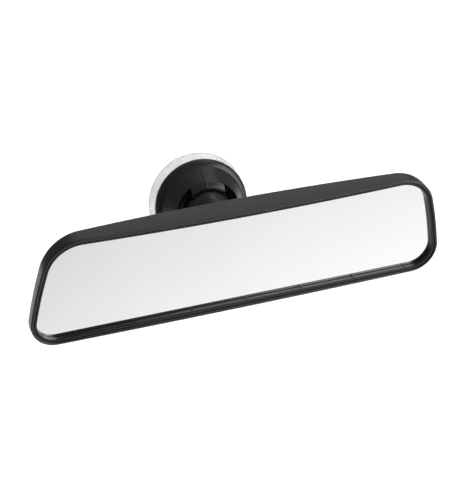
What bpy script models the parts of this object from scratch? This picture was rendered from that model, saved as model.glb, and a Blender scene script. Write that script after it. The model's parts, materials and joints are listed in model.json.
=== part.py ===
"""Interior rear-view mirror on a suction mount, as an assembly of separate pieces.

Frame: +X along the mirror's length, +Z up, the glass faces -Y.  The origin is the centre of the
suction disc's sealing lip.  Sizes below are in millimetres and are turned into metres by MM.
"""
import math

import bmesh
import bpy
from mathutils import Matrix, Vector

MM = 0.001
GAP = 0.3                      # clearance between neighbouring pieces

# Pose of the assembly, degrees.
CUP_TILT, CUP_YAW = 15.0, -5.5  # direction of the cup's axis, from the lip towards the mirror
ARM_TILT, ARM_YAW = 5.0, 1.0    # direction of the arm, from the cup's ball to the head's ball

# Ball arm: two equal balls on one neck.
BALL_R = 14.0
BALL_GAP = 34.0                # from ball centre to ball centre
NECK_R = 8.0
BALL_CUT = 9.0                 # each ball is cut flat this far beyond its centre
BALL_LIFT = 22.5               # cup's ball centre above the sealing lip

# Head: a rounded trapezoid, wider at the bottom.
HALF_BOTTOM, HALF_TOP = 125.0, 110.6
HEAD_TOP, HEAD_BOTTOM = 31.75, -32.55   # heights of its corners from the head's ball
RADIUS_TOP, RADIUS_BOTTOM = 22.5, 15.0
SAG_TOP, SAG_BOTTOM, SIDE_BULGE = 1.6, 0.7, 0.4
BACK_DEPTH = 16.6              # depth of the shell on its centre line
BACK_CURVE = 0.000645          # the back falls by this times x squared
WALL = 1.6
RIM_WIDTH = 3.4                # from the outline to the bezel's inner edge
GLASS_FRONT, GLASS_THICK = 3.3, 1.7
FILM_FRONT, FILM_THICK = 5.2, 0.2
FOAM_FRONT, FOAM_THICK = 5.6, 0.8
PLATE_FRONT, PLATE_THICK = 6.6, 1.8
HEAD_BALL_DEPTH = 21.5         # head's ball centre behind the rim's front

# Socket that holds the head's ball.
SOCKET_SIDE = 51.0
SOCKET_HOLE_R = 19.0
SOCKET_SCREW_AT = 21.5
FLANGE_FRONT, FLANGE_BACK = 8.7, 10.3   # depths of the socket's square flange
PLATE_SCREWS_AT = [(-74.0, 16.0), (-48.0, -18.0), (48.0, -18.0), (74.0, 16.0)]

# Suction cup.
LIP_R = 29.0
CAP_R = 27.75
CAP_FLOOR = 8.6                # height of the cap's floor above the sealing lip

# Both sockets: three fingers round the ball, with a friction ring under them.
GRIP_R = BALL_R + GAP          # inner sphere of the fingers
SEAT_THICK = 1.2
CAVITY_R = GRIP_R + SEAT_THICK + GAP
MOUTH = 4.9                    # from a ball's centre to its socket's mouth
MOUTH_R = 14.7
LIP_POLAR = math.degrees(math.acos((MOUTH - 0.5) / GRIP_R))
FINGER_HALF = 9.7              # half the width of a finger, whose sides are parallel
FIRST_FINGER = 90.0            # direction of the first finger, degrees; the others follow at 120
CAP_SLOT_R, SOCKET_SLOT_R = 18.7, 16.8

TURN_STEPS = 36                # round a large turned piece
SMALL_STEPS = 24               # round the stud's pieces
SCREW_STEPS = 16               # round a screw
SLOT_STEPS = 6                 # along the outer arc of a slot
ARC_STEPS = 6                  # along a corner of the head
EDGE_STEPS = 12                # along a long edge of the head


# ---------------------------------------------------------------- scene and materials

def clear_scene():
    """Remove whatever the scene holds."""
    for item in list(bpy.data.objects):
        bpy.data.objects.remove(item, do_unlink=True)


def material(name, colour, roughness, metallic=0.0, alpha=1.0):
    """A Principled material with one colour."""
    made = bpy.data.materials.new(name)
    made.use_nodes = True
    shader = made.node_tree.nodes["Principled BSDF"]
    shader.inputs["Base Color"].default_value = (*colour, 1.0)
    shader.inputs["Roughness"].default_value = roughness
    shader.inputs["Metallic"].default_value = metallic
    shader.inputs["Alpha"].default_value = alpha
    return made


def finish(name, builder, look, place, pivot=None):
    """Turn a bmesh, in millimetres, into a named object with its material, its place and its parent."""
    bmesh.ops.remove_doubles(builder, verts=builder.verts, dist=0.001)
    bmesh.ops.recalc_face_normals(builder, faces=builder.faces)
    bmesh.ops.scale(builder, vec=(MM, MM, MM), verts=builder.verts)
    mesh = bpy.data.meshes.new(name)
    builder.to_mesh(mesh)
    builder.free()
    mesh.shade_smooth()
    mesh.set_sharp_from_angle(angle=math.radians(35))
    if look:
        mesh.materials.append(look)
    item = bpy.data.objects.new(name, mesh)
    bpy.context.scene.collection.objects.link(item)
    item.matrix_basis = place
    if pivot:
        item.parent = pivot
        item.matrix_parent_inverse = pivot.matrix_basis.inverted()
    return item


def make_pivot(name, place):
    """An empty at a ball's centre, for the pieces that turn about it."""
    pivot = bpy.data.objects.new(name, None)
    pivot.matrix_basis = place
    bpy.context.scene.collection.objects.link(pivot)
    return pivot


def cutter(name, builder, place):
    """An object that only shapes others."""
    item = finish(name, builder, None, place)
    item.hide_render = True
    item.display_type = "WIRE"
    return item


def combine(item, other, operation):
    """Add an exact Boolean modifier to item."""
    step = item.modifiers.new(operation.lower() + "_" + other.name, "BOOLEAN")
    step.object = other
    step.operation = operation
    step.solver = "EXACT"


# ---------------------------------------------------------------- placing

def aimed(origin, tilt, yaw):
    """Matrix whose local +Z points towards the mirror, raised by tilt and turned by yaw."""
    turn = Matrix.Rotation(math.radians(yaw), 4, "Z") @ Matrix.Rotation(math.radians(90 - tilt), 4, "X")
    return Matrix.Translation(origin * MM) @ turn


CUP_AXIS = aimed(Vector(), CUP_TILT, CUP_YAW).to_3x3() @ Vector((0, 0, 1))
ARM_AXIS = aimed(Vector(), ARM_TILT, ARM_YAW).to_3x3() @ Vector((0, 0, 1))
CUP_BALL = CUP_AXIS * BALL_LIFT
HEAD_BALL = CUP_BALL + ARM_AXIS * BALL_GAP
HEAD_CENTRE = HEAD_BALL - Vector((0, HEAD_BALL_DEPTH, 0))

CUP_PLACE = aimed(Vector(), CUP_TILT, CUP_YAW)
CUP_BALL_PLACE = aimed(CUP_BALL, CUP_TILT, CUP_YAW)
HEAD_BALL_PLACE = Matrix.Translation(HEAD_BALL * MM)
ARM_PLACE = aimed(CUP_BALL, ARM_TILT, ARM_YAW)
HEAD_PLACE = Matrix.Translation(HEAD_CENTRE * MM)
# The socket is turned about its own +Z, which points backwards out of the shell.
SOCKET_PLACE = HEAD_BALL_PLACE @ Matrix.Rotation(math.radians(-90), 4, "X")


# ---------------------------------------------------------------- turned shapes

def turned(profile, segments=TURN_STEPS):
    """A solid of revolution about Z from a closed list of (radius, height) points."""
    builder = bmesh.new()
    rings = []
    for radius, height in profile:
        if radius < 1e-6:
            rings.append([builder.verts.new((0, 0, height))])
            continue
        ring = []
        for step in range(segments):
            angle = 2 * math.pi * step / segments
            place = (radius * math.cos(angle), radius * math.sin(angle), height)
            ring.append(builder.verts.new(place))
        rings.append(ring)
    for here, there in zip(rings, rings[1:] + rings[:1]):
        for step in range(segments):
            after = (step + 1) % segments
            corners = [here[step % len(here)], here[after % len(here)],
                       there[after % len(there)], there[step % len(there)]]
            corners = list(dict.fromkeys(corners))
            if len(corners) > 2:
                builder.faces.new(corners)
    return builder


def arc(centre, radius, start, end, steps):
    """Points on an arc in the (radius, height) plane; angles in degrees from the radial axis."""
    points = []
    for step in range(steps + 1):
        angle = math.radians(start + (end - start) * step / steps)
        points.append((centre[0] + radius * math.cos(angle), centre[1] + radius * math.sin(angle)))
    return points


def box(low, high):
    """A plain block between two corners."""
    builder = bmesh.new()
    bmesh.ops.create_cube(builder, size=1.0)
    size = [b - a for a, b in zip(low, high)]
    middle = [(a + b) / 2 for a, b in zip(low, high)]
    bmesh.ops.scale(builder, vec=size, verts=builder.verts)
    bmesh.ops.translate(builder, vec=middle, verts=builder.verts)
    return builder


def merge(target, source, matrix):
    """Copy the faces of source into target, moved by matrix, and free source."""
    copies = {vert: target.verts.new(matrix @ vert.co) for vert in source.verts}
    for face in source.faces:
        target.faces.new([copies[vert] for vert in face.verts])
    source.free()


# ---------------------------------------------------------------- the head's outline

def corner_centres():
    """Centres of the right-hand corner arcs, bottom and top, and the side's outward normal."""
    along = Vector((HALF_TOP - HALF_BOTTOM, HEAD_TOP - HEAD_BOTTOM)).normalized()
    normal = Vector((along.y, -along.x))
    centres = []
    for radius, height in ((RADIUS_BOTTOM, HEAD_BOTTOM + RADIUS_BOTTOM), (RADIUS_TOP, HEAD_TOP - RADIUS_TOP)):
        start = Vector((HALF_BOTTOM, HEAD_BOTTOM)) - normal * radius
        reach = (height - start.y) / along.y
        centres.append(start + along * reach)
    return centres[0], centres[1], normal


def half_loops(inset):
    """Upper and lower half of the outline, inset from the outer edge, both from left to right."""
    bottom, top, normal = corner_centres()
    lean = math.atan2(normal.y, normal.x)
    side_low = bottom + normal * (RADIUS_BOTTOM - inset)
    side_high = top + normal * (RADIUS_TOP - inset)
    sag = SAG_BOTTOM * max(0.0, 1 - inset / RIM_WIDTH)
    upper, lower = [], []
    for step in range(EDGE_STEPS // 2 + 1):
        part = step / (EDGE_STEPS // 2)
        upper.append((top.x * part, top.y + RADIUS_TOP - inset - SAG_TOP * (1 - part * part)))
        lower.append((bottom.x * part, bottom.y - RADIUS_BOTTOM + inset - sag * (1 - part * part)))
    for step in range(1, ARC_STEPS + 1):
        part = step / ARC_STEPS
        high = math.pi / 2 + (lean - math.pi / 2) * part
        low = -math.pi / 2 + (lean + math.pi / 2) * part
        upper.append((top.x + (RADIUS_TOP - inset) * math.cos(high),
                      top.y + (RADIUS_TOP - inset) * math.sin(high)))
        lower.append((bottom.x + (RADIUS_BOTTOM - inset) * math.cos(low),
                      bottom.y + (RADIUS_BOTTOM - inset) * math.sin(low)))
    for start, end, points in ((side_high, side_low, upper), (side_low, side_high, lower)):
        place = start.lerp(end, 0.3) + normal * SIDE_BULGE * 0.84
        points.append((place.x, place.y))
    mirrored = [[(-x, z) for x, z in reversed(points[1:])] + points for points in (upper, lower)]
    return mirrored


def back_at(x):
    """Depth of the shell's outer back at a place along its length."""
    return BACK_DEPTH - BACK_CURVE * x * x


def slab(stations):
    """A body swept through (inset, depth) stations, closed by strips across its first and last.

    A depth is a number, or a function of x where the surface follows the curved back.
    """
    builder = bmesh.new()
    rings = []
    for inset, depth in stations:
        upper, lower = half_loops(inset)
        ring = []
        for x, z in upper + lower[::-1]:
            ring.append(builder.verts.new((x, depth(x) if callable(depth) else depth, z)))
        rings.append(ring)
    count = len(rings[0])
    for here, there in zip(rings, rings[1:]):
        for step in range(count):
            after = (step + 1) % count
            builder.faces.new((here[step], here[after], there[after], there[step]))
    half = count // 2
    for ring in (rings[0], rings[-1]):
        for step in range(half - 1):
            builder.faces.new((ring[step], ring[step + 1], ring[count - 2 - step], ring[count - 1 - step]))
    return builder


def in_head(x, z, front, scale=1.0):
    """Place for a turned solid in the head: its +Z points backwards, its foot at the depth front."""
    return Matrix.Translation(Vector((x, front, z)) * scale) @ Matrix.Rotation(math.radians(-90), 4, "X")


# ---------------------------------------------------------------- pieces of the head

def make_rear_shell(look, pivot):
    """Moulded back: rounded lip, snap groove, curved back with a socket hole and screw bosses."""
    def behind(amount):
        return lambda x: back_at(x) - amount

    inner = WALL + 0.2
    inner_back = [(inner + 1.6, behind(WALL)), (inner, behind(WALL + 1.0))]
    groove = [(inner, 2.5), (1.25, 2.4), (1.25, 1.4), (inner, 1.3)]
    lip = [(1.75, 0.35), (1.3, 0.0), (0.6, 0.0), (0.15, 0.4), (0.0, 1.1)]
    outer_back = [(0.0, behind(2.4)), (0.25, behind(1.4)), (0.85, behind(0.5)), (2.0, behind(0.1)),
                  (3.6, back_at)]
    stations = inner_back + groove + lip + outer_back
    shell = finish("rear_shell", slab(stations), look, HEAD_PLACE, pivot)
    for number, (x, z, front) in enumerate(boss_places()):
        tall = back_at(x) - 0.6 - front
        boss = turned([(0, 0), (3.2, 0), (3.4, tall), (0, tall)], SCREW_STEPS)
        place = HEAD_PLACE @ in_head(x, z, front, MM)
        combine(shell, cutter(f"boss_form_{number}", boss, place), "UNION")
    holes = bmesh.new()
    for x, z, front in boss_places():
        pilot = turned([(0, -2), (1.3, -2), (1.3, 3.3), (0, 3.3)], 12)
        merge(holes, pilot, in_head(x, z, front))
    opening = turned([(0, 0), (SOCKET_HOLE_R, 0), (SOCKET_HOLE_R, 12), (0, 12)])
    merge(holes, opening, in_head(0, 0, 11.5))
    combine(shell, cutter("shell_holes", holes, HEAD_PLACE), "DIFFERENCE")


def boss_places():
    """x, z and front height of each screw boss on the shell's inner back."""
    socket = [(x, z, FLANGE_BACK + GAP) for x, z in socket_screw_places()]
    plate = [(x, z, PLATE_FRONT + PLATE_THICK + GAP) for x, z in PLATE_SCREWS_AT]
    return socket + plate


def socket_screw_places():
    """x, z of the four screws round the socket."""
    sides = (-SOCKET_SCREW_AT, SOCKET_SCREW_AT)
    return [(x, z) for x in sides for z in sides]


def make_retaining_ring(look, pivot):
    """Bezel that snaps into the shell's lip and holds the glass."""
    stations = [(RIM_WIDTH + 0.1, 1.0), (RIM_WIDTH - 0.15, 0.7), (2.3, 0.7), (2.1, 0.9), (2.1, 1.6),
                (1.6, 1.75), (1.6, 2.05), (2.1, 2.3), (2.1, 3.0), (RIM_WIDTH + 0.1, 3.0)]
    builder = slab(stations)
    count = len(half_loops(0)[0]) * 2
    builder.verts.ensure_lookup_table()
    first = list(builder.verts)[:count]
    last = list(builder.verts)[-count:]
    strips = [face for face in builder.faces if all(vert in first for vert in face.verts)]
    strips += [face for face in builder.faces if all(vert in last for vert in face.verts)]
    bmesh.ops.delete(builder, geom=strips, context="FACES_ONLY")
    for step in range(count):
        after = (step + 1) % count
        builder.faces.new((last[step], last[after], first[after], first[step]))
    finish("retaining_ring", builder, look, HEAD_PLACE, pivot)


def make_mirror_glass(look, pivot):
    """Flat glass with a ground edge."""
    front, back = GLASS_FRONT, GLASS_FRONT + GLASS_THICK
    stations = [(2.7, front), (2.4, front + 0.3), (2.4, back - 0.3), (2.7, back)]
    finish("mirror_glass", slab(stations), look, HEAD_PLACE, pivot)


def make_shatter_film(look, pivot):
    """Safety film on the back of the glass."""
    stations = [(6.0, FILM_FRONT), (6.0, FILM_FRONT + FILM_THICK)]
    finish("shatter_film", slab(stations), look, HEAD_PLACE, pivot)


def make_foam_pads(look, pivot):
    """Two strips of double-sided foam between the film and the backing plate."""
    for name, side in (("foam_pad_left", -1), ("foam_pad_right", 1)):
        low_x, high_x = sorted((side * 42.0, side * 84.0))
        builder = box((low_x, FOAM_FRONT, -12.0), (high_x, FOAM_FRONT + FOAM_THICK, 14.0))
        upright = [edge for edge in builder.edges if edge.verts[0].co.y != edge.verts[1].co.y]
        bmesh.ops.bevel(builder, geom=upright, offset=2.0, segments=2, affect="EDGES")
        finish(name, builder, look, HEAD_PLACE, pivot)


def make_backing_plate(look, pivot):
    """Stiff plate behind the glass, with a window round the ball socket and sunk screw holes."""
    low, high = PLATE_FRONT, PLATE_FRONT + PLATE_THICK
    builder = box((-99.0, low, -28.0), (99.0, high, 27.6))
    upright = [edge for edge in builder.edges if edge.verts[0].co.y != edge.verts[1].co.y]
    bmesh.ops.bevel(builder, geom=upright, offset=9.0, segments=4, affect="EDGES")
    plate = finish("backing_plate", builder, look, HEAD_PLACE, pivot)
    cuts = box((-30.0, low - 2, -24.7), (30.0, high + 2, 24.7))
    combine(plate, cutter("plate_window", cuts, HEAD_PLACE), "DIFFERENCE")
    holes = bmesh.new()
    sunk = [(0, -2), (3.0, -2), (3.0, 1.1), (1.5, 1.1), (1.5, 4), (0, 4)]
    for x, z in PLATE_SCREWS_AT:
        merge(holes, turned(sunk, SCREW_STEPS), in_head(x, z, low))
    combine(plate, cutter("plate_screw_holes", holes, HEAD_PLACE), "DIFFERENCE")


def make_screws(name, places, front, profile, look, pivot):
    """One turned screw at each (x, z) place, its head's seat at the depth front."""
    for number, (x, z) in enumerate(places, 1):
        place = HEAD_PLACE @ in_head(x, z, front, MM)
        finish(f"{name}_{number}", turned(profile, SCREW_STEPS), look, place, pivot)


def make_plate_screws(look, pivot):
    """Four flat-headed screws that hold the backing plate to the shell."""
    flat = [(0, 0.1), (2.6, 0.1), (2.6, 0.8), (1.0, 1.0), (1.0, 4.5), (0, 5.0)]
    make_screws("plate_screw", PLATE_SCREWS_AT, PLATE_FRONT, flat, look, pivot)


# ---------------------------------------------------------------- ball joints

def finger_slots(radius, low, high):
    """Three prisms that part the fingers: a corner near the axis, two straight sides and an arc."""
    builder = bmesh.new()
    corner = FINGER_HALF / math.sin(math.radians(60))
    side = math.degrees(math.asin(FINGER_HALF / radius))
    for number in range(3):
        finger = FIRST_FINGER + 120 * number
        turn = math.radians(finger + 60)
        outline = [(corner * math.cos(turn), corner * math.sin(turn))]
        outline += arc((0, 0), radius, finger + side, finger + 120 - side, SLOT_STEPS)
        bottom = [builder.verts.new((x, y, low)) for x, y in outline]
        top = [builder.verts.new((x, y, high)) for x, y in outline]
        builder.faces.new(bottom)
        builder.faces.new(top)
        for step in range(len(outline)):
            after = (step + 1) % len(outline)
            builder.faces.new((bottom[step], bottom[after], top[after], top[step]))
    return builder


def on_sphere(radius, polar):
    """(radius, height) of a point on a sphere, polar in degrees from the mouth's direction."""
    return radius * math.sin(math.radians(polar)), radius * math.cos(math.radians(polar))


def on_sphere_arc(radius, start, end, steps):
    """Points along a meridian of a sphere."""
    return [on_sphere(radius, start + (end - start) * step / steps) for step in range(steps + 1)]


def make_seat_ring(name, start, end, look, place):
    """Friction ring between a ball and its socket: a zone of a sphere."""
    inner = on_sphere_arc(GRIP_R, start, end, 4)
    outer = on_sphere_arc(GRIP_R + SEAT_THICK, end, start, 4)
    finish(name, turned(inner + outer), look, place)


def make_ball_arm(look):
    """Dumb-bell arm: two balls joined by a waisted neck, each ball cored from its flat end."""
    middle = BALL_GAP / 2
    fillet = (NECK_R ** 2 + middle ** 2 - BALL_R ** 2) / (2 * (BALL_R - NECK_R))
    centre = (NECK_R + fillet, middle)
    touch = math.degrees(math.atan2(centre[1], centre[0]))
    flat = -math.degrees(math.asin(BALL_CUT / BALL_R))
    core = [(0, 2.5), (5.2, 2.0), (7.4, -1.5), (8.4, -BALL_CUT)]
    half = core + arc((0, 0), BALL_R, flat, touch, 9) + arc(centre, fillet, 180 + touch, 180, 3)[1:]
    other = [(radius, BALL_GAP - height) for radius, height in reversed(half[:-1])]
    finish("ball_arm", turned(half + other), look, ARM_PLACE)


def make_head_socket(look):
    """Socket with three fingers on a square flange, held inside the shell by screws."""
    low = FLANGE_FRONT - HEAD_BALL_DEPTH
    high = FLANGE_BACK - HEAD_BALL_DEPTH
    outside = [(18.6, -3.0), (18.0, 1.6), (16.3, 4.3), (MOUTH_R, MOUTH)]
    grip = on_sphere_arc(GRIP_R, LIP_POLAR, 86, 2)
    rear = math.degrees(math.acos(high / CAVITY_R))
    cavity = on_sphere_arc(CAVITY_R, 89, rear, 6)
    foot = [(cavity[-1][0], low + 0.4), (18.6, low + 0.4)]
    socket = finish("head_socket", turned(outside + grip + cavity + foot), look, SOCKET_PLACE)
    half = SOCKET_SIDE / 2
    plate = box((-half, -half, low), (half, half, high))
    upright = [edge for edge in plate.edges if edge.verts[0].co.z != edge.verts[1].co.z]
    bmesh.ops.bevel(plate, geom=upright, offset=4.0, segments=3, affect="EDGES")
    combine(socket, cutter("socket_flange", plate, SOCKET_PLACE), "UNION")
    cuts = turned([(0, low - 2), (12.0, low - 2), (12.0, high + 0.4), (0, high + 0.4)])
    for x, z in socket_screw_places():
        hole = turned([(0, low - 2), (1.5, low - 2), (1.5, high + 2), (0, high + 2)], 12)
        merge(cuts, hole, Matrix.Translation((x, z, 0)))
    combine(socket, cutter("socket_holes", cuts, SOCKET_PLACE), "DIFFERENCE")
    slots = finger_slots(SOCKET_SLOT_R, -3.0, MOUTH + 2)
    combine(socket, cutter("socket_slots", slots, SOCKET_PLACE), "DIFFERENCE")


def make_socket_screws(look, pivot):
    """Four pan-headed screws through the socket's flange into the shell's bosses."""
    pan = [(0, -1.9), (1.6, -1.9), (2.4, -1.5), (2.6, -0.3), (1.0, -0.3), (1.0, 4.2), (0, 4.8)]
    make_screws("socket_screw", socket_screw_places(), FLANGE_FRONT, pan, look, pivot)


# ---------------------------------------------------------------- pieces of the suction mount

def make_socket_cap(look):
    """Black cap: rounded rim, cone, three fingers over the ball, floor with the stud's hole."""
    def lifted(points):
        return [(radius, height + BALL_LIFT) for radius, height in points]

    rim = [(25.3, CAP_FLOOR), (27.2, CAP_FLOOR), (27.65, 9.2), (CAP_R, 10.0), (27.6, 10.9), (26.9, 12.0),
           (25.6, 13.1), (24.4, 13.85)]
    cone = [(24.1, 14.3), (22.3, 17.9), (20.5, 21.5), (19.3, 24.0), (18.7, 25.0), (17.6, 26.0)]
    mouth = lifted([(16.5, MOUTH - 0.45), (MOUTH_R, MOUTH)])
    inside = lifted(on_sphere_arc(GRIP_R, LIP_POLAR, 92, 2) + on_sphere_arc(CAVITY_R, 97, 151.5, 6))
    floor = [(7.0, CAP_FLOOR), (2.4, CAP_FLOOR), (2.4, 6.6)]
    bowl = lifted(on_sphere_arc(CAVITY_R + 2.0, 153.5, 96, 5))
    under = [(23.2, 12.4), (25.3, 10.6)]
    profile = rim + cone + mouth + inside + floor + bowl + under
    cap = finish("socket_cap", turned(profile), look, CUP_PLACE)
    slots = finger_slots(CAP_SLOT_R, BALL_LIFT + 0.2, BALL_LIFT + MOUTH + 2)
    combine(cap, cutter("cap_slots", slots, CUP_PLACE), "DIFFERENCE")


def make_suction_disc(look):
    """Soft clear cup: sealing lip, hollow underside, crown with a pocket for the stud's head."""
    wall = [(LIP_R, 0.0), (LIP_R + 0.1, 0.6), (28.7, 1.4), (27.9, 3.6), (27.1, 6.2), (26.4, 8.3)]
    crown = [(24.9, 8.3), (24.7, 9.6), (23.0, 9.8), (21.4, 8.1), (12.0, 6.9), (8.5, 6.3), (2.3, 6.3)]
    pocket = [(2.3, 5.75), (4.8, 5.75), (4.8, 3.85), (0, 3.85)]
    underside = [(0, 2.4), (5.6, 2.4), (7.0, 3.2), (9.5, 3.8), (17.0, 3.7), (23.0, 2.7), (25.6, 1.4),
                 (27.0, 0.0)]
    finish("suction_disc", turned(wall + crown + pocket + underside), look, CUP_PLACE)


def make_stud(look):
    """Stud with a broad head, moulded into the disc."""
    profile = [(0, 4.15), (4.5, 4.15), (4.5, 5.45), (2.0, 5.45), (2.0, 12.6), (1.6, 13.0), (0, 13.0)]
    finish("disc_stud", turned(profile, SMALL_STEPS), look, CUP_PLACE)


def make_stud_washer(look):
    """Flat washer on the cap's floor."""
    profile = [(2.3, 8.85), (5.0, 8.85), (5.0, 9.45), (2.3, 9.45)]
    finish("stud_washer", turned(profile, SMALL_STEPS), look, CUP_PLACE)


def make_stud_nut(look):
    """Hexagon nut that clamps the cap to the disc."""
    low, high, bore, across = 9.7, 12.1, 2.3, 7.0
    builder = bmesh.new()
    rings = []
    for height, hexagon in ((low, False), (low, True), (high, True), (high, False)):
        ring = []
        for step in range(SMALL_STEPS):
            angle = 2 * math.pi * step / SMALL_STEPS
            off_flat = (angle + math.pi / 6) % (math.pi / 3) - math.pi / 6
            reach = across / 2 / math.cos(off_flat) if hexagon else bore
            ring.append(builder.verts.new((reach * math.cos(angle), reach * math.sin(angle), height)))
        rings.append(ring)
    for here, there in zip(rings, rings[1:] + rings[:1]):
        for step in range(SMALL_STEPS):
            after = (step + 1) % SMALL_STEPS
            builder.faces.new((here[step], here[after], there[after], there[step]))
    finish("stud_nut", builder, look, CUP_PLACE)


# ---------------------------------------------------------------- assembly

def build():
    """Make every piece."""
    clear_scene()
    black = material("black_shell", (0.045, 0.045, 0.043), 0.42)
    dark = material("black_cap", (0.03, 0.03, 0.028), 0.35)
    natural = material("natural_nylon", (0.62, 0.6, 0.54), 0.5)
    soft = material("clear_pvc", (0.86, 0.87, 0.88), 0.2, alpha=0.4)
    steel = material("zinc_steel", (0.55, 0.55, 0.56), 0.35, 1.0)
    mirror = material("silvered_glass", (0.93, 0.94, 0.95), 0.02, 1.0)
    film = material("film", (0.25, 0.27, 0.3), 0.4)
    foam = material("white_foam", (0.8, 0.8, 0.78), 0.9)
    board = material("grey_board", (0.3, 0.3, 0.31), 0.6)

    make_suction_disc(soft)
    make_stud(steel)
    make_stud_washer(steel)
    make_stud_nut(steel)
    make_socket_cap(dark)
    make_seat_ring("cup_seat_ring", 106, 128, natural, CUP_BALL_PLACE)
    make_ball_arm(dark)
    make_seat_ring("head_seat_ring", 110, 130, natural, SOCKET_PLACE)
    make_head_socket(dark)
    head = make_pivot("head_pivot", HEAD_BALL_PLACE)
    make_socket_screws(steel, head)
    make_rear_shell(black, head)
    make_backing_plate(board, head)
    make_plate_screws(steel, head)
    make_foam_pads(foam, head)
    make_shatter_film(film, head)
    make_mirror_glass(mirror, head)
    make_retaining_ring(black, head)


build()
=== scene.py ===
"""Looks of the interior mirror: fine meshes, materials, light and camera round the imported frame.

Lengths are in millimetres until a mesh is finished, and MM turns them into metres.
"""
import json
import math

import bmesh
import bpy
from mathutils import Matrix, Vector, noise


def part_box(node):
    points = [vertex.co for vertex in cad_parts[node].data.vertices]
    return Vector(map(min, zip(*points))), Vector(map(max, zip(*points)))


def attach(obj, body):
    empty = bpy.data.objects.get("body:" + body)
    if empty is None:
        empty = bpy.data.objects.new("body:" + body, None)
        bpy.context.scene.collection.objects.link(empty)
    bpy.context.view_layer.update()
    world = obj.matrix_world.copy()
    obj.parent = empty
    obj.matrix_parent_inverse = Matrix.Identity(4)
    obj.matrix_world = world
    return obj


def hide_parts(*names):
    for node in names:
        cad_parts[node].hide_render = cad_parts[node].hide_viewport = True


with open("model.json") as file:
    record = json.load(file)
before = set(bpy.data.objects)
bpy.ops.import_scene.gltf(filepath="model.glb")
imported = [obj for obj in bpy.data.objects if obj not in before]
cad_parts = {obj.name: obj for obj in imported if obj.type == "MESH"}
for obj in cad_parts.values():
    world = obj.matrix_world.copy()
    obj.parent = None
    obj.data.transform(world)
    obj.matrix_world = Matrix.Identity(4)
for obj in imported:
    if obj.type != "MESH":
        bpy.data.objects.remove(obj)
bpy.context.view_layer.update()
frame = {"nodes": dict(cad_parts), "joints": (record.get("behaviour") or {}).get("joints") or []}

MM = 0.001


# ---------------------------------------------------------------- places from the frame

def joint(name):
    """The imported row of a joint."""
    return next(row for row in frame["joints"] if row["name"] == name)


def aimed(origin, axis):
    """Matrix at origin whose local +Z lies along axis and whose local +X is level."""
    across = Vector((-axis.y, axis.x, 0)).normalized()
    turn = Matrix((across, axis.cross(across), axis)).transposed()
    return Matrix.Translation(origin * MM) @ turn.to_4x4()


CUP_BALL = Vector(joint("cup_tilt")["pos_m"]) / MM
HEAD_BALL = Vector(joint("head_pan")["pos_m"]) / MM
BALL_LIFT = CUP_BALL.length                      # the sealing lip's centre is the origin
BALL_GAP = (HEAD_BALL - CUP_BALL).length
SHELL_LOW, SHELL_HIGH = (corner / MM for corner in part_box("rear_shell"))
HEAD_CENTRE = Vector((HEAD_BALL.x, SHELL_LOW.y, HEAD_BALL.z))

CUP_PLACE = aimed(Vector(), CUP_BALL.normalized())
ARM_PLACE = aimed(CUP_BALL, (HEAD_BALL - CUP_BALL).normalized())
HEAD_PLACE = Matrix.Translation(HEAD_CENTRE * MM)
SOCKET_PLACE = Matrix.Translation(HEAD_BALL * MM) @ Matrix.Rotation(math.radians(-90), 4, "X")

# Head outline: a rounded trapezoid, wider at the bottom.
HALF_BOTTOM, HALF_TOP = 125.0, 110.6
RADIUS_TOP, RADIUS_BOTTOM = 22.5, 15.0
SAG_TOP, SAG_BOTTOM, SIDE_BULGE = 1.6, 0.7, 0.4
HEAD_TOP = SHELL_HIGH.z - HEAD_CENTRE.z
HEAD_BOTTOM = SHELL_LOW.z - HEAD_CENTRE.z + SAG_BOTTOM
EDGE_STEPS, CORNER_STEPS, SIDE_STEPS = 34, 16, 10

# Depths behind the rim's front, and insets from the outline.
BACK_DEPTH, BACK_CURVE = 16.6, 0.000645
WALL = 1.6
RIM_WIDTH = 3.4
LIP_INNER = 1.75
RING_OUTER, RING_INNER = 2.0, 3.45
GLASS_FRONT, GLASS_BACK = 3.3, 5.0
FLANGE_FRONT, FLANGE_BACK = 8.7, 10.3
PLATE_BACK = 8.4
HOLE_R = 19.0
SOCKET_SCREW_AT = 21.5
PLATE_SCREWS_AT = [(-74.0, 16.0), (-48.0, -18.0), (48.0, -18.0), (74.0, 16.0)]

# Ball joints.
BALL_R, NECK_R, BALL_CUT = 14.0, 8.0, 9.0
GRIP_R, CAVITY_R = 14.3, 15.8
MOUTH = 4.4                                      # from a ball's centre to the edge of its socket's grip
LIP_POLAR = math.degrees(math.acos(MOUTH / GRIP_R))
CAP_SLOT_R, SOCKET_SLOT_R = 18.7, 16.8
FINGER_HALF = 9.7                                # half the width of a finger, whose sides are parallel
LEAST_R = 13.5                                   # inside this radius the finger's sides spread no more
LINE_PART = 0.08                                 # place of the mould line across the first finger
LINE_SHAPE = [(-0.02, 0.0), (-0.01, 0.07), (0.0, 0.09), (0.01, 0.07), (0.02, 0.0)]


# ---------------------------------------------------------------- mesh helpers

def finish(name, builder, looks, place, body, replaced=()):
    """Turn a bmesh, in millimetres, into a piece that rides on a body."""
    bmesh.ops.remove_doubles(builder, verts=builder.verts, dist=0.0005)
    bmesh.ops.dissolve_degenerate(builder, edges=builder.edges, dist=0.0005)
    bmesh.ops.recalc_face_normals(builder, faces=builder.faces)
    bmesh.ops.scale(builder, vec=(MM, MM, MM), verts=builder.verts)
    bmesh.ops.transform(builder, matrix=place, verts=builder.verts)
    mesh = bpy.data.meshes.new(name)
    builder.to_mesh(mesh)
    builder.free()
    mesh.shade_smooth()
    mesh.set_sharp_from_angle(angle=math.radians(38))
    for look in looks:
        mesh.materials.append(look)
    piece = bpy.data.objects.new(name, mesh)
    bpy.context.scene.collection.objects.link(piece)
    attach(piece, body)
    if replaced:
        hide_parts(*replaced)
    return piece


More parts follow.
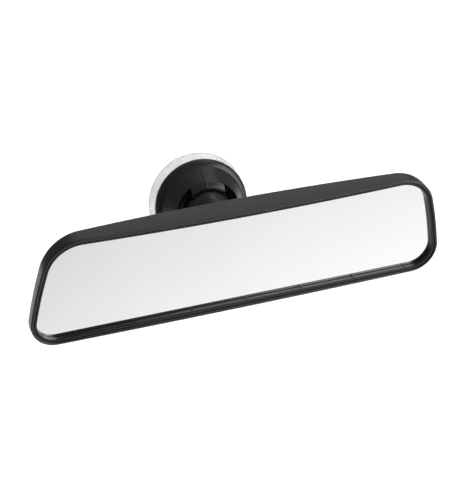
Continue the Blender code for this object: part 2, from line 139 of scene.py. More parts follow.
def arc(centre, radius, start, end, steps):
    """Points on an arc in a plane, angles in degrees from its first axis."""
    points = []
    for step in range(steps + 1):
        angle = math.radians(start + (end - start) * step / steps)
        points.append((centre[0] + radius * math.cos(angle), centre[1] + radius * math.sin(angle)))
    return points


def on_sphere(radius, start, end, steps, lift=0.0):
    """Points along a sphere's meridian, polar angles in degrees from the local +Z."""
    return arc((0, lift), radius, 90 - start, 90 - end, steps)


def rounded(points, radius, steps=4):
    """A path with its inner corners replaced by arcs of about the given radius."""
    path = [points[0]]
    for before, corner, after in zip(points, points[1:], points[2:]):
        here = Vector(corner)
        back, ahead = Vector(before) - here, Vector(after) - here
        reach = min(radius, back.length * 0.45, ahead.length * 0.45)
        start, end = here + back.normalized() * reach, here + ahead.normalized() * reach
        for step in range(steps + 1):
            part = step / steps
            place = start.lerp(here, part).lerp(here.lerp(end, part), part)
            path.append((place.x, place.y))
    path.append(points[-1])
    return path


def skin(stations):
    """Closed body through stations, each a closed list of points, the stations in a circle.

    Where two neighbours share most of their points, the space between them becomes one flat wall,
    and the wall's edges on the prouder side are returned as well.
    """
    builder = bmesh.new()
    known = {}

    def vertex(point):
        key = tuple(round(value, 4) + 0.0 for value in point)
        if key not in known:
            known[key] = builder.verts.new(point)
        return known[key]

    count = len(stations[0])
    walls = []
    for here, there in zip(stations, stations[1:] + stations[:1]):
        shared = sum((one - other).length < 1e-5 for one, other in zip(here, there))
        if shared > count / 2:
            walls.append((here, there))
            continue
        for step in range(count):
            after = (step + 1) % count
            corners = [vertex(here[step]), vertex(here[after]), vertex(there[after]), vertex(there[step])]
            corners = list(dict.fromkeys(corners))
            if len(corners) > 2:
                builder.faces.new(corners)
    rims = []
    for here, there in walls:
        apart = [step for step in range(count) if (here[step] - there[step]).length > 1e-4]
        span = range(apart[0] - 1, apart[-1] + 2)
        one = [vertex(here[step]) for step in span]
        other = [vertex(there[step]) for step in span]
        wall = builder.faces.new(list(dict.fromkeys(one + other[::-1])))
        tallest = max(range(len(one)), key=lambda step: abs(one[step].co.z - other[step].co.z))
        proud = one if one[tallest].co.z > other[tallest].co.z else other
        rims += [edge for edge in wall.edges if all(vert in proud for vert in edge.verts)]
    return builder, rims


def placed(profile, angle, swell=0.0, beyond=0.0):
    """A (radius, height) profile stood at an angle; points outside a radius can be swollen."""
    turn = math.radians(angle)
    points = []
    for radius, height in profile:
        radius = radius + swell if radius > beyond else radius
        points.append(Vector((radius * math.cos(turn), radius * math.sin(turn), height)))
    return points


def turned(profile, segments=96, line_at=None, line_height=0.0, line_beyond=0.0):
    """A solid of revolution; line_at is the angle of a fine mould line, which runs down both sides."""
    angles = [(360 * step / segments, 0.0) for step in range(segments)]
    if line_at is not None:
        lines = (line_at, line_at + 180)
        angles = [item for item in angles if all(far_from(item[0], at, 1.5) for at in lines)]
        for at in lines:
            angles += [((at + offset) % 360, line_height * share)
                       for offset, share in ((-1.0, 0), (-0.5, 0.8), (0, 1), (0.5, 0.8), (1.0, 0))]
        angles.sort()
    return skin([placed(profile, angle, swell, line_beyond) for angle, swell in angles])[0]


def far_from(angle, other, least):
    """Whether two directions, in degrees, are at least so far apart."""
    return abs((angle - other + 180) % 360 - 180) >= least


def merge(target, source, matrix):
    """Copy the faces of source into target, moved by matrix, and free source."""
    copies = {vert: target.verts.new(matrix @ vert.co) for vert in source.verts}
    for face in source.faces:
        made = target.faces.new([copies[vert] for vert in face.verts])
        made.material_index = face.material_index
    source.free()


def loft(rings, closed=True):
    """A band of four-sided faces through rings with the same count of points."""
    builder = bmesh.new()
    made = [[builder.verts.new(point) for point in ring] for ring in rings]
    pairs = list(zip(made, made[1:]))
    if closed:
        pairs.append((made[-1], made[0]))
    for here, there in pairs:
        for step in range(len(here)):
            after = (step + 1) % len(here)
            builder.faces.new((here[step], here[after], there[after], there[step]))
    return builder, made


# ---------------------------------------------------------------- the head's outline

def outline(inset):
    """Closed (x, z) outline of the head, set in from the outer edge, clockwise from the top left."""
    along = Vector((HALF_TOP - HALF_BOTTOM, HEAD_TOP - HEAD_BOTTOM)).normalized()
    normal = Vector((along.y, -along.x))
    lean = math.degrees(math.atan2(normal.y, normal.x))
    centres = []
    for radius, height in ((RADIUS_TOP, HEAD_TOP - RADIUS_TOP),
                           (RADIUS_BOTTOM, HEAD_BOTTOM + RADIUS_BOTTOM)):
        start = Vector((HALF_BOTTOM, HEAD_BOTTOM)) - normal * radius
        centres.append(start + along * ((height - start.y) / along.y))
    top, bottom = centres
    sag = SAG_BOTTOM * max(0.0, 1 - inset / RIM_WIDTH)
    upper, lower = [], []
    for step in range(EDGE_STEPS // 2):
        part = step / (EDGE_STEPS // 2)
        upper.append((top.x * part, top.y + RADIUS_TOP - inset - SAG_TOP * (1 - part * part)))
        lower.append((bottom.x * part, bottom.y - RADIUS_BOTTOM + inset - sag * (1 - part * part)))
    right = upper + arc(top, RADIUS_TOP - inset, 90, lean, CORNER_STEPS)
    start = top + normal * (RADIUS_TOP - inset)
    end = bottom + normal * (RADIUS_BOTTOM - inset)
    for step in range(1, SIDE_STEPS):
        part = step / SIDE_STEPS
        place = start.lerp(end, part) + normal * SIDE_BULGE * 4 * part * (1 - part)
        right.append((place.x, place.y))
    right += arc(bottom, RADIUS_BOTTOM - inset, lean, -90, CORNER_STEPS) + lower[::-1]
    left = [(-x, z) for x, z in right[1:-1]]
    return right + left[::-1]


def back_at(x):
    """Depth of the shell's outer back at a place along its length."""
    return BACK_DEPTH - BACK_CURVE * x * x


def ring_at(inset, depth):
    """Points of the outline at an inset; depth is a number or a function of x."""
    return [(x, depth(x) if callable(depth) else depth, z) for x, z in outline(inset)]


def toward_hole(inset, radius, part, depth):
    """Points part of the way from the outline at an inset to a circle round the socket."""
    points = []
    for x, z in outline(inset):
        turn = math.atan2(z, x)
        place = Vector((x, z)).lerp(Vector((math.cos(turn), math.sin(turn))) * radius, part)
        points.append((place.x, depth(place.x), place.y))
    return points


def in_head(x, z, front):
    """Place for a turned solid in the head: its +Z points backwards, its foot at the depth front."""
    return Matrix.Translation((x, front, z)) @ Matrix.Rotation(math.radians(-90), 4, "X")


# ---------------------------------------------------------------- materials

def blank(name):
    """A new node material with its shader and its object coordinates."""
    look = bpy.data.materials.new(name)
    look.use_nodes = True
    nodes = look.node_tree.nodes
    place = nodes.new("ShaderNodeTexCoord").outputs["Object"]
    return look, nodes, look.node_tree.links.new, nodes["Principled BSDF"], place


def cloud(nodes, link, place, scale, detail=3.0, stretch=None):
    """A noise texture's factor; stretch squeezes the pattern along the axes."""
    if stretch:
        mapping = nodes.new("ShaderNodeMapping")
        mapping.inputs["Scale"].default_value = stretch
        link(place, mapping.inputs["Vector"])
        place = mapping.outputs["Vector"]
    texture = nodes.new("ShaderNodeTexNoise")
    texture.inputs["Scale"].default_value = scale
    texture.inputs["Detail"].default_value = detail
    link(place, texture.inputs["Vector"])
    return texture.outputs["Fac"]


def spread(nodes, link, value, low, high, start=0.3, end=0.7):
    """A factor stretched from start..end to low..high."""
    node = nodes.new("ShaderNodeMapRange")
    for socket, number in (("From Min", start), ("From Max", end), ("To Min", low), ("To Max", high)):
        node.inputs[socket].default_value = number
    link(value, node.inputs["Value"])
    return node.outputs["Result"]


def blend(nodes, link, factor, first, second):
    """A mix of two colours, each a triple or a socket."""
    node = nodes.new("ShaderNodeMix")
    node.data_type = "RGBA"
    link(factor, node.inputs[0])
    for socket, colour in ((node.inputs[6], first), (node.inputs[7], second)):
        if isinstance(colour, tuple):
            socket.default_value = (*colour, 1.0)
        else:
            link(colour, socket)
    return node.outputs[2]


def relief(nodes, link, height, strength, depth):
    """A bump node's normal."""
    node = nodes.new("ShaderNodeBump")
    node.inputs["Strength"].default_value = strength
    node.inputs["Distance"].default_value = depth
    link(height, node.inputs["Height"])
    return node.outputs["Normal"]


def worn_edges(nodes, link, low, high):
    """A factor that rises on convex edges."""
    pointed = nodes.new("ShaderNodeNewGeometry").outputs["Pointiness"]
    return spread(nodes, link, pointed, 0.0, 1.0, low, high)


def moulded(name, dark, pale, rough, grain, depth, gloss=0.5):
    """Moulded plastic: mottled colour, fine grain, roughness in patches, edges rubbed paler."""
    look, nodes, link, shader, place = blank(name)
    shader.inputs["Specular IOR Level"].default_value = gloss
    shader.inputs["Specular Tint"].default_value = (1.0, 0.99, 0.93, 1.0)
    patches = cloud(nodes, link, place, 70, 4)
    fine = cloud(nodes, link, place, grain, 2)
    rubbed = tuple(min(1.0, value * 1.9) for value in pale)
    tone = blend(nodes, link, spread(nodes, link, patches, 0, 1), dark, pale)
    tone = blend(nodes, link, spread(nodes, link, fine, 0, 0.35, 0.55, 0.75), tone, rubbed)
    tone = blend(nodes, link, worn_edges(nodes, link, 0.53, 0.62), tone, rubbed)
    link(tone, shader.inputs["Base Color"])
    link(spread(nodes, link, patches, rough - 0.05, rough + 0.05), shader.inputs["Roughness"])
    link(relief(nodes, link, fine, 0.55, depth), shader.inputs["Normal"])
    return look


def steel_look():
    """Zinc-plated steel with drawn streaks and dulled edges."""
    look, nodes, link, shader, place = blank("zinc_steel")
    streaks = cloud(nodes, link, place, 500, 4, (1, 6, 1))
    patches = cloud(nodes, link, place, 160, 3)
    tone = blend(nodes, link, spread(nodes, link, patches, 0, 1), (0.42, 0.43, 0.45), (0.62, 0.61, 0.57))
    link(blend(nodes, link, worn_edges(nodes, link, 0.53, 0.65), tone, (0.72, 0.71, 0.69)),
         shader.inputs["Base Color"])
    link(spread(nodes, link, streaks, 0.26, 0.42), shader.inputs["Roughness"])
    link(relief(nodes, link, streaks, 0.3, 0.00003), shader.inputs["Normal"])
    shader.inputs["Metallic"].default_value = 1.0
    return look


def pvc_look():
    """Clear soft PVC, faintly milky, with the polish of its mould."""
    look, nodes, link, shader, place = blank("clear_pvc")
    patches = cloud(nodes, link, place, 90, 3)
    fine = cloud(nodes, link, place, 900, 2)
    link(blend(nodes, link, spread(nodes, link, patches, 0, 1), (0.66, 0.67, 0.67), (0.74, 0.745, 0.74)),
         shader.inputs["Base Color"])
    link(spread(nodes, link, patches, 0.08, 0.18), shader.inputs["Roughness"])
    link(relief(nodes, link, fine, 0.15, 0.00005), shader.inputs["Normal"])
    shader.inputs["Transmission Weight"].default_value = 0.82
    shader.inputs["IOR"].default_value = 1.53
    return look


def silver_look():
    """The silvered face seen through clear glass: a clean mirror with the faintest haze."""
    look, nodes, link, shader, place = blank("silvered_glass")
    haze = cloud(nodes, link, place, 25, 5)
    specks = cloud(nodes, link, place, 1400, 2)
    link(blend(nodes, link, spread(nodes, link, haze, 0, 1), (0.905, 0.912, 0.912), (0.925, 0.928, 0.926)),
         shader.inputs["Base Color"])
    dust = spread(nodes, link, specks, 0.0, 0.12, 0.72, 0.8)
    film = spread(nodes, link, haze, 0.008, 0.03)
    total = nodes.new("ShaderNodeMath")
    link(dust, total.inputs[0])
    link(film, total.inputs[1])
    link(total.outputs[0], shader.inputs["Roughness"])
    link(relief(nodes, link, haze, 0.02, 0.00001), shader.inputs["Normal"])
    shader.inputs["Metallic"].default_value = 1.0
    return look


def glass_edge_look():
    """Ground glass edge, green-grey and satin."""
    look, nodes, link, shader, place = blank("ground_glass_edge")
    ground = cloud(nodes, link, place, 2200, 3)
    link(blend(nodes, link, spread(nodes, link, ground, 0, 1), (0.25, 0.33, 0.3), (0.5, 0.58, 0.55)),
         shader.inputs["Base Color"])
    link(spread(nodes, link, ground, 0.3, 0.5), shader.inputs["Roughness"])
    link(relief(nodes, link, ground, 0.4, 0.00003), shader.inputs["Normal"])
    return look


def painted_back_look():
    """Grey protective paint on the back of the silvering."""
    look, nodes, link, shader, place = blank("mirror_back_paint")
    patches = cloud(nodes, link, place, 130, 4)
    link(blend(nodes, link, spread(nodes, link, patches, 0, 1), (0.2, 0.21, 0.22), (0.3, 0.31, 0.31)),
         shader.inputs["Base Color"])
    link(spread(nodes, link, patches, 0.5, 0.7), shader.inputs["Roughness"])
    link(relief(nodes, link, patches, 0.3, 0.00005), shader.inputs["Normal"])
    return look


def foam_look():
    """White polyethylene foam with closed cells."""
    look, nodes, link, shader, place = blank("white_foam")
    cells = nodes.new("ShaderNodeTexVoronoi")
    cells.inputs["Scale"].default_value = 1800
    link(place, cells.inputs["Vector"])
    patches = cloud(nodes, link, place, 200, 3)
    link(blend(nodes, link, spread(nodes, link, patches, 0, 1), (0.74, 0.73, 0.69), (0.86, 0.86, 0.84)),
         shader.inputs["Base Color"])
    link(spread(nodes, link, patches, 0.8, 0.95), shader.inputs["Roughness"])
    link(relief(nodes, link, cells.outputs["Distance"], 0.8, 0.0001), shader.inputs["Normal"])
    return look


BLACK_SHELL = moulded("black_shell", (0.0085, 0.0085, 0.0078), (0.0125, 0.0122, 0.0112), 0.36, 2600, 0.00002)
BLACK_RING = moulded("black_ring", (0.0085, 0.0085, 0.008), (0.0115, 0.0115, 0.0105), 0.2, 2600, 0.000008,
                      gloss=0.36)
BLACK_CAP = moulded("black_cap", (0.0075, 0.0075, 0.007), (0.0115, 0.0115, 0.0105), 0.3, 2600, 0.000016)
NYLON = moulded("natural_nylon", (0.55, 0.53, 0.47), (0.66, 0.64, 0.58), 0.42, 1500, 0.00004)
BOARD = moulded("grey_board", (0.2, 0.2, 0.205), (0.3, 0.3, 0.3), 0.6, 1200, 0.0001)
FILM = moulded("safety_film", (0.16, 0.18, 0.21), (0.24, 0.26, 0.29), 0.34, 900, 0.00003)
STEEL = steel_look()
PVC = pvc_look()
SILVER = silver_look()
GLASS_EDGE = glass_edge_look()
MIRROR_PAINT = painted_back_look()
FOAM = foam_look()


# ---------------------------------------------------------------- pieces of the head

def boss_places():
    """x, z and front depth of each screw boss behind the shell's back."""
    socket = [(x, z, FLANGE_BACK + 0.3) for x in (-SOCKET_SCREW_AT, SOCKET_SCREW_AT)
              for z in (-SOCKET_SCREW_AT, SOCKET_SCREW_AT)]
    return socket + [(x, z, PLATE_BACK + 0.3) for x, z in PLATE_SCREWS_AT]


def make_rear_shell():
    """Moulded back: rounded lip, snap groove, soft outer edge, curved back with a collared hole."""
    def behind(amount):
        return lambda x: back_at(x) - amount

    inner = LIP_INNER + 0.05
    lip = [(inner, 2.5), (1.25, 2.4), (1.25, 1.45), (inner, 1.3), (LIP_INNER, 1.0)]
    lip += arc((0.85, 0.9), 0.9, 0, -90, 8) + arc((0.8, 0.8), 0.8, -90, -180, 8)[1:]
    rings = [ring_at(inset, depth) for inset, depth in lip]
    corner, flatness = 3.4, 0.72
    for angle in range(0, 91, 10):
        inset = corner * (1 - math.cos(math.radians(angle)))
        fall = corner * flatness * (1 - math.sin(math.radians(angle)))
        rings.append(ring_at(inset, behind(fall)))
    for part in (0.06, 0.16, 0.3, 0.46, 0.62, 0.78, 0.9, 1.0):
        rings.append(toward_hole(corner, HOLE_R + 3.2, part, behind(0.0)))
    for wide, proud in ((2.9, 0.04), (2.6, 0.3), (2.3, 0.5), (1.9, 0.6), (1.0, 0.62), (0.5, 0.55),
                        (0.18, 0.35), (0.0, 0.0), (0.0, -WALL + 0.2), (0.25, -WALL)):
        rings.append(toward_hole(corner, HOLE_R + wide, 1.0, behind(-proud)))
    for part in (0.9, 0.75, 0.55, 0.3, 0.0):
        rings.append(toward_hole(corner, HOLE_R + 0.25, part, behind(WALL)))
    rings += [ring_at(2.4, behind(WALL + 0.25)), ring_at(inner, behind(WALL + 1.0))]
    builder = loft(rings)[0]
    for x, z, front in boss_places():
        tall = back_at(x) - 0.8 - front
        outside = [(3.0, 0.0), (3.2, 0.2), (3.4, tall), (0.0, tall)]
        pilot = [(0.0, 3.3), (1.3, 3.0), (1.3, 0.3), (1.6, 0.0)]
        merge(builder, turned(outside + pilot, 32), in_head(x, z, front))
    return finish("visual_rear_shell", builder, [BLACK_SHELL], HEAD_PLACE, "mirror_head",
                  ["rear_shell"])


def make_retaining_ring():
    """Bezel with rounded front edges, a snap bead outside and small tabs along its lower side."""
    front, back = 0.62, 3.0
    tabs, tab_pitch, tab_shift, tab_inset = 7, 33.0, 3.0, 0.62
    profile = arc((RING_OUTER + 0.3, front + 0.3), 0.3, 180, 270, 5)
    profile += arc((RING_INNER - 0.45, front + 0.45), 0.45, 270, 360, 7)
    profile += [(RING_INNER + 0.08, back - 0.2), (RING_INNER - 0.1, back), (RING_OUTER + 0.1, back),
                (RING_OUTER, back - 0.1), (RING_OUTER + 0.02, 2.3), (1.62, 2.06), (1.62, 1.76),
                (RING_OUTER, 1.55)]
    builder = loft([ring_at(inset, depth) for inset, depth in profile])[0]
    for number in range(tabs):
        x = (number - tabs // 2) * tab_pitch + tab_shift
        foot = Matrix.Translation((x, back - tab_inset, HEAD_BOTTOM + RING_INNER))
        merge(builder, tab(1.6, 0.9, 1.1), foot)
    return finish("visual_retaining_ring", builder, [BLACK_RING], HEAD_PLACE, "mirror_head",
                  ["retaining_ring"])


def tab(wide, tall, deep):
    """Small rounded tab, its foot in the bezel and its top over the glass."""
    builder = bmesh.new()
    bmesh.ops.create_cube(builder, size=1.0)
    bmesh.ops.scale(builder, vec=(wide, deep, tall), verts=builder.verts)
    bmesh.ops.bevel(builder, geom=list(builder.edges), offset=0.16, segments=3, affect="EDGES")
    return builder


def make_mirror_glass():
    """Silvered plate with a ground bevel; its faces take the silver, the edge and the back paint."""
    edge = [(3.0, GLASS_FRONT), (2.9, GLASS_FRONT), (2.62, GLASS_FRONT + 0.04), (2.44, GLASS_FRONT + 0.2),
            (2.4, GLASS_FRONT + 0.4), (2.4, GLASS_BACK - 0.3), (2.5, GLASS_BACK - 0.07),
            (2.7, GLASS_BACK), (2.8, GLASS_BACK)]
    builder, rings = loft([ring_at(inset, depth) for inset, depth in edge], closed=False)
    for face in builder.faces:
        depths = [vert.co.y for vert in face.verts]
        flat = max(depths) <= GLASS_FRONT + 0.001
        face.material_index = 0 if flat else 1
    builder.faces.new(rings[0]).material_index = 0
    builder.faces.new(rings[-1]).material_index = 2
    return finish("visual_mirror_glass", builder, [SILVER, GLASS_EDGE, MIRROR_PAINT], HEAD_PLACE,
                  "mirror_head", ["mirror_glass"])


def make_foam_pads():
    """Two die-cut foam strips, soft at their edges and slightly uneven."""
    for name in ("foam_pad_left", "foam_pad_right"):
        low, high = (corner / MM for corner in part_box(name))
        centre, size = (low + high) / 2, high - low
        builder = bmesh.new()
        bmesh.ops.create_grid(builder, x_segments=44, y_segments=28, size=0.5)
        for vert in builder.verts:
            reach = max(abs(vert.co.x), abs(vert.co.y)) * 2
            flat = Vector((vert.co.x * size.x, 0, vert.co.y * size.z))
            edge = min(1.0, (1 - reach) * 12 + 0.25)
            ripple = noise.noise(flat * 0.35) * 0.06
            vert.co = flat + Vector((0, -size.y * (0.44 * edge) - ripple * 0.3, 0))
        top = list(builder.faces)
        made = bmesh.ops.extrude_face_region(builder, geom=top)
        for vert in (item for item in made["geom"] if isinstance(item, bmesh.types.BMVert)):
            vert.co.y = -vert.co.y
        bmesh.ops.translate(builder, vec=centre, verts=builder.verts)
        pad = finish("visual_" + name, builder, [FOAM], Matrix.Identity(4), "mirror_head",
                     [name])


# ---------------------------------------------------------------- ball joints

def fingered(whole, notched, steps=20, line_from=99.0):
    """Stations of a socket: three parallel-sided fingers with the whole profile, three notched slots.

    A fine mould line runs up the first finger, on the points that stand higher than line_from.
    """
    even = [(2 * step / steps - 1, 0.0) for step in range(steps + 1)]
    lined = sorted([item for item in even if abs(item[0] - LINE_PART) > 0.03]
                   + [(LINE_PART + offset, swell) for offset, swell in LINE_SHAPE])
    stations = []
    for number in range(3):
        middle = 90 + 120 * number
        for slot, profile in enumerate((whole, notched)):
            for part, swell in (even if slot or number else lined):
                points = []
                for radius, height in profile:
                    side = math.degrees(math.asin(FINGER_HALF / max(radius, LEAST_R)))
                    turn = math.radians(middle + (60 + part * (60 - side) if slot else part * side))
                    reach = radius + swell if height > line_from and radius > GRIP_R else radius
                    points.append(Vector((reach * math.cos(turn), reach * math.sin(turn), height)))
                stations.append(points)
    return stations


def make_socket_cap():
    """Cap of the suction cup: rolled rim, cone, three fingers round the ball, floor with the stud's hole."""
    rim = arc((26.9, 9.4), 0.8, -90, -10, 4) + [(27.75, 10.0)]
    rim += rounded([(27.75, 10.0), (27.6, 10.9), (26.9, 12.0), (25.6, 13.1), (24.45, 13.8), (24.15, 14.2),
                    (22.3, 17.9), (20.5, 21.5), (19.3, 24.0)], 0.5)
    start = [(25.0, 8.6)] + rim
    tip = [(19.3, 24.0), (18.7, 25.0), (16.5, 26.95), (14.7, 27.5), (13.75, BALL_LIFT + MOUTH + 0.1),
           (13.61, BALL_LIFT + MOUTH)]
    over = rounded(tip, 0.6, 6)[1:-1] + on_sphere(GRIP_R, LIP_POLAR, 90, 7, BALL_LIFT)
    over += on_sphere(CAVITY_R, 92, 95, 1, BALL_LIFT)
    notch = rounded([(19.3, 24.0), (CAP_SLOT_R + 0.02, 24.95), (CAP_SLOT_R, 24.6),
                     (CAP_SLOT_R, BALL_LIFT + 0.2), (15.78, BALL_LIFT + 0.2), (15.76, 21.6)], 0.05, 2)[1:]
    notch = refit(notch, len(over))
    inside = on_sphere(CAVITY_R, 98, 151.5, 12, BALL_LIFT)
    floor = [(7.0, 8.6), (2.4, 8.6), (2.4, 6.6)]
    bowl = on_sphere(CAVITY_R + 2.0, 153.5, 96, 10, BALL_LIFT)
    under = [(23.2, 12.4)]
    rest = inside + floor + bowl + under
    builder, rims = skin(fingered(start + over + rest, start + notch + rest, line_from=13.9))
    soften(builder, rims, BALL_LIFT)
    return finish("visual_socket_cap", builder, [BLACK_CAP], CUP_PLACE, "suction_base",
                  ["socket_cap"])


def soften(builder, rims, least):
    """Round a finger's edges that stand higher than least."""
    edges = [edge for edge in rims if min(vert.co.z for vert in edge.verts) > least + 0.01]
    bmesh.ops.bevel(builder, geom=edges, offset=0.3, segments=3, profile=0.5, affect="EDGES")


def refit(path, count):
    """The same path with count points, the extra ones halving its longest runs."""
    path = list(path)
    while len(path) < count:
        gaps = [(Vector(b) - Vector(a)).length for a, b in zip(path, path[1:])]
        at = gaps.index(max(gaps))
        a, b = path[at], path[at + 1]
        path.insert(at + 1, ((a[0] + b[0]) / 2, (a[1] + b[1]) / 2))
    return path


def make_head_socket():
    """Socket in the shell: three fingers round the ball, on a square flange."""
    ball_depth = HEAD_BALL.y - HEAD_CENTRE.y
    low, high = FLANGE_FRONT - ball_depth, FLANGE_BACK - ball_depth
    outside = rounded([(18.7, high), (18.6, -3.0), (18.5, -1.0)], 0.4, 3)
    tip = [(18.5, -1.0), (18.0, 1.6), (16.3, 4.3), (14.7, 4.95), (13.75, MOUTH + 0.1), (13.61, MOUTH)]
    over = rounded(tip, 0.6, 6)[1:-1] + on_sphere(GRIP_R, LIP_POLAR, 90, 7)
    over += on_sphere(CAVITY_R, 92, 96, 1)
    notch = rounded([(18.5, -1.0), (18.0, 1.6), (SOCKET_SLOT_R + 0.1, 3.3), (SOCKET_SLOT_R, 3.0),
                     (SOCKET_SLOT_R, -3.0), (15.55, -3.0), (15.5, -3.2)], 0.2, 3)[1:]
    notch = refit(notch, len(over))
    rear = math.degrees(math.acos((high + 0.4) / CAVITY_R))
    inside = [(15.45, -3.4)] + on_sphere(CAVITY_R, 104, rear, 8)
    foot = [(12.0, high), (12.0, low)]
    rest = inside + foot + [(18.7, low)]
    builder, rims = skin(fingered(outside + over + rest, outside + notch + rest))
    soften(builder, rims, 0.0)
    merge(builder, flange(low, high), Matrix.Identity(4))
    return finish("visual_head_socket", builder, [BLACK_CAP], SOCKET_PLACE, "mirror_head",
                  ["head_socket"])


def flange(low, high):
    """Square flange round the socket's foot, with rounded corners and bevelled edges."""
    half, corner, steps, hole = 25.5, 4.0, 12, 18.4
    centre = Vector((half - corner, half - corner))
    outer = []
    for number in range(4):
        for x, z in arc(centre, corner, 0, 90, steps):
            turn = Matrix.Rotation(math.radians(90 * number), 2)
            outer.append(turn @ Vector((x, z)))
    builder = bmesh.new()
    # Insets from the outside, with their heights; None stands on the hole round the socket.
    levels = [(0.0, low + 0.3), (0.0, high - 0.3), (0.3, high), (None, high), (None, low), (0.3, low)]
    rings = []
    for inset, height in levels:
        ring = []
        for point in outer:
            if inset is None:
                place = point.normalized() * hole
            else:
                place = point * (1 - inset / half)
            ring.append(builder.verts.new((place.x, place.y, height)))
        rings.append(ring)
    for here, there in zip(rings, rings[1:] + rings[:1]):
        for step in range(len(here)):
            after = (step + 1) % len(here)
            builder.faces.new((here[step], here[after], there[after], there[step]))
    return builder


def make_ball_arm():
    """Dumb-bell arm: two balls on a waisted neck, cored from both ends, with a fine mould line."""
    middle = BALL_GAP / 2
    fillet = (NECK_R ** 2 + middle ** 2 - BALL_R ** 2) / (2 * (BALL_R - NECK_R))
    centre = (NECK_R + fillet, middle)
    touch = math.degrees(math.atan2(centre[1], centre[0]))
    flat = -math.degrees(math.asin(BALL_CUT / BALL_R))
    core = [(0, 2.5)] + rounded([(0, 2.5), (5.2, 2.0), (7.4, -1.5), (8.4, -BALL_CUT + 0.1),
                                 (9.6, -BALL_CUT)], 0.6, 3)[1:]
    half = core + arc((0, 0), BALL_R, flat + 1.5, touch, 26)
    half += arc(centre, fillet, 180 + touch, 180, 8)[1:]
    other = [(radius, BALL_GAP - height) for radius, height in reversed(half[:-1])]
    builder = turned(half + other, 120, line_at=78, line_height=0.07, line_beyond=7.9)
    return finish("visual_ball_arm", builder, [BLACK_CAP], ARM_PLACE, "arm", ["ball_arm"])


# ---------------------------------------------------------------- the suction disc

def make_suction_disc():
    """Soft clear cup: thin sealing lip, flared wall with a step, hollow underside, pocket for the stud."""
    wall = rounded([(29.0, 0.0), (29.1, 0.5), (28.6, 1.6), (27.9, 3.6), (27.1, 6.2), (26.5, 8.3),
                    (24.9, 8.35), (24.75, 9.65), (23.0, 9.8), (21.4, 8.1), (12.0, 6.9), (8.5, 6.3),
                    (2.3, 6.3)], 0.35, 4)
    pocket = [(2.3, 5.75), (4.8, 5.75), (4.8, 3.85), (0, 3.85)]
    under = [(0, 2.4)] + rounded([(0, 2.4), (5.6, 2.4), (7.0, 3.2), (9.5, 3.8), (17.0, 3.7), (23.0, 2.7),
                                  (25.6, 1.4), (27.0, 0.0), (29.0, 0.0)], 0.8, 4)[1:-1]
    return finish("visual_suction_disc", turned(wall + pocket + under, 128), [PVC], CUP_PLACE,
                  "suction_base", ["suction_disc"])


def finish_cad_nodes():
    """Procedural materials on the small inner pieces that keep their CAD shape."""
    looks = {"disc_stud": STEEL, "stud_washer": STEEL, "stud_nut": STEEL, "cup_seat_ring": NYLON,
             "head_seat_ring": NYLON, "backing_plate": BOARD, "shatter_film": FILM}
    for number in range(1, 5):
        looks[f"plate_screw_{number}"] = STEEL
        looks[f"socket_screw_{number}"] = STEEL
    for name, look in looks.items():
        materials = frame["nodes"][name].data.materials
        materials.clear()
        materials.append(look)


# ---------------------------------------------------------------- floor, light and camera

FLOOR_Z = -0.42
CAMERA_OFFSET = Vector((-281.93, -612.88, 460.60))   # from the rim's centre, millimetres
CAMERA_AZIMUTH, CAMERA_ELEVATION, CAMERA_ROLL = -24.0, 34.06, 3.03
CAMERA_LENS = 107.57


def make_floor():
    """Plain pale floor well below the object."""
    mesh = bpy.data.meshes.new("floor")
    half = 5.0
    mesh.from_pydata([(-half, -half, FLOOR_Z), (half, -half, FLOOR_Z), (half, half, FLOOR_Z),
                      (-half, half, FLOOR_Z)], [], [(0, 1, 2, 3)])
    floor = bpy.data.objects.new("floor", mesh)
    bpy.context.scene.collection.objects.link(floor)
    look, nodes, link, shader, place = blank("white_floor")
    link(blend(nodes, link, cloud(nodes, link, place, 3), (0.86, 0.86, 0.855), (0.89, 0.89, 0.885)),
         shader.inputs["Base Color"])
    shader.inputs["Roughness"].default_value = 0.9
    shader.inputs["Specular IOR Level"].default_value = 0.1
    mesh.materials.append(look)


def make_light(name, place, aim, size, radiance):
    """A square softbox of the given brightness, out of the camera's sight."""
    data = bpy.data.lights.new(name, "AREA")
    data.size = size
    data.energy = radiance * math.pi * size * size
    lamp = bpy.data.objects.new(name, data)
    lamp.location = place
    lamp.rotation_euler = (Vector(aim) - Vector(place)).to_track_quat("-Z", "Y").to_euler()
    lamp.visible_camera = False
    bpy.context.scene.collection.objects.link(lamp)


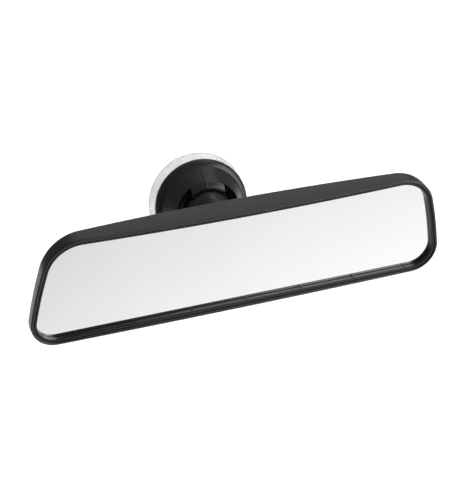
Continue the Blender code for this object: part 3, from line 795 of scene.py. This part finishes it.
def make_wash(name, place, angle, energy):
    """A soft spot from above that whitens a part of the floor and shows in no reflection."""
    data = bpy.data.lights.new(name, "SPOT")
    data.energy = energy
    data.spot_size = math.radians(angle)
    data.spot_blend = 1.0
    data.shadow_soft_size = 0.3
    lamp = bpy.data.objects.new(name, data)
    lamp.location = place
    lamp.visible_glossy = False
    bpy.context.scene.collection.objects.link(lamp)


def make_lights():
    """Soft studio: a grey surround, boxes overhead, behind and to the right, and washes on the floor."""
    world = bpy.data.worlds.new("studio")
    world.use_nodes = True
    nodes, link = world.node_tree.nodes, world.node_tree.links.new
    shade = nodes.new("ShaderNodeMix")
    shade.data_type = "RGBA"
    shade.inputs[6].default_value = (0.2, 0.2, 0.2, 1.0)
    shade.inputs[7].default_value = (1.0, 1.0, 1.0, 1.0)
    link(nodes.new("ShaderNodeLightPath").outputs["Is Camera Ray"], shade.inputs[0])
    link(shade.outputs[2], nodes["Background"].inputs["Color"])
    bpy.context.scene.world = world
    make_light("key_box", (1.72, -1.3, 0.86), (0.0, -0.05, 0.0), 2.3, 3.2)
    make_light("top_box", (0.52, 0.18, 1.05), (0.0, 0.0, 0.0), 0.45, 1.5)
    make_light("back_panel", (0.7, 1.6, 1.15), (0.0, 0.0, 0.0), 1.6, 0.5)
    make_wash("floor_wash", (0.32, 0.65, 1.6), 82, 150)
    make_wash("front_wash", (0.36, -0.22, 1.0), 50, 32)
    make_wash("side_wash", (-0.62, 0.75, 1.2), 48, 110)
    bpy.context.scene.view_settings.view_transform = "Standard"


def make_camera():
    """The photograph's viewpoint."""
    data = bpy.data.cameras.new("camera")
    data.lens = CAMERA_LENS
    camera = bpy.data.objects.new("camera", data)
    camera.location = (HEAD_CENTRE + CAMERA_OFFSET) * MM
    turn = Matrix.Rotation(math.radians(CAMERA_AZIMUTH), 3, "Z")
    tilt = Matrix.Rotation(math.radians(90 - CAMERA_ELEVATION), 3, "X")
    roll = Matrix.Rotation(math.radians(CAMERA_ROLL), 3, "Z")
    camera.rotation_euler = (turn @ tilt @ roll).to_euler()
    bpy.context.scene.collection.objects.link(camera)
    bpy.context.scene.camera = camera


make_camera()
make_rear_shell()
make_retaining_ring()
make_mirror_glass()
make_foam_pads()
make_socket_cap()
make_head_socket()
make_ball_arm()
make_suction_disc()
finish_cad_nodes()
make_floor()
make_lights()
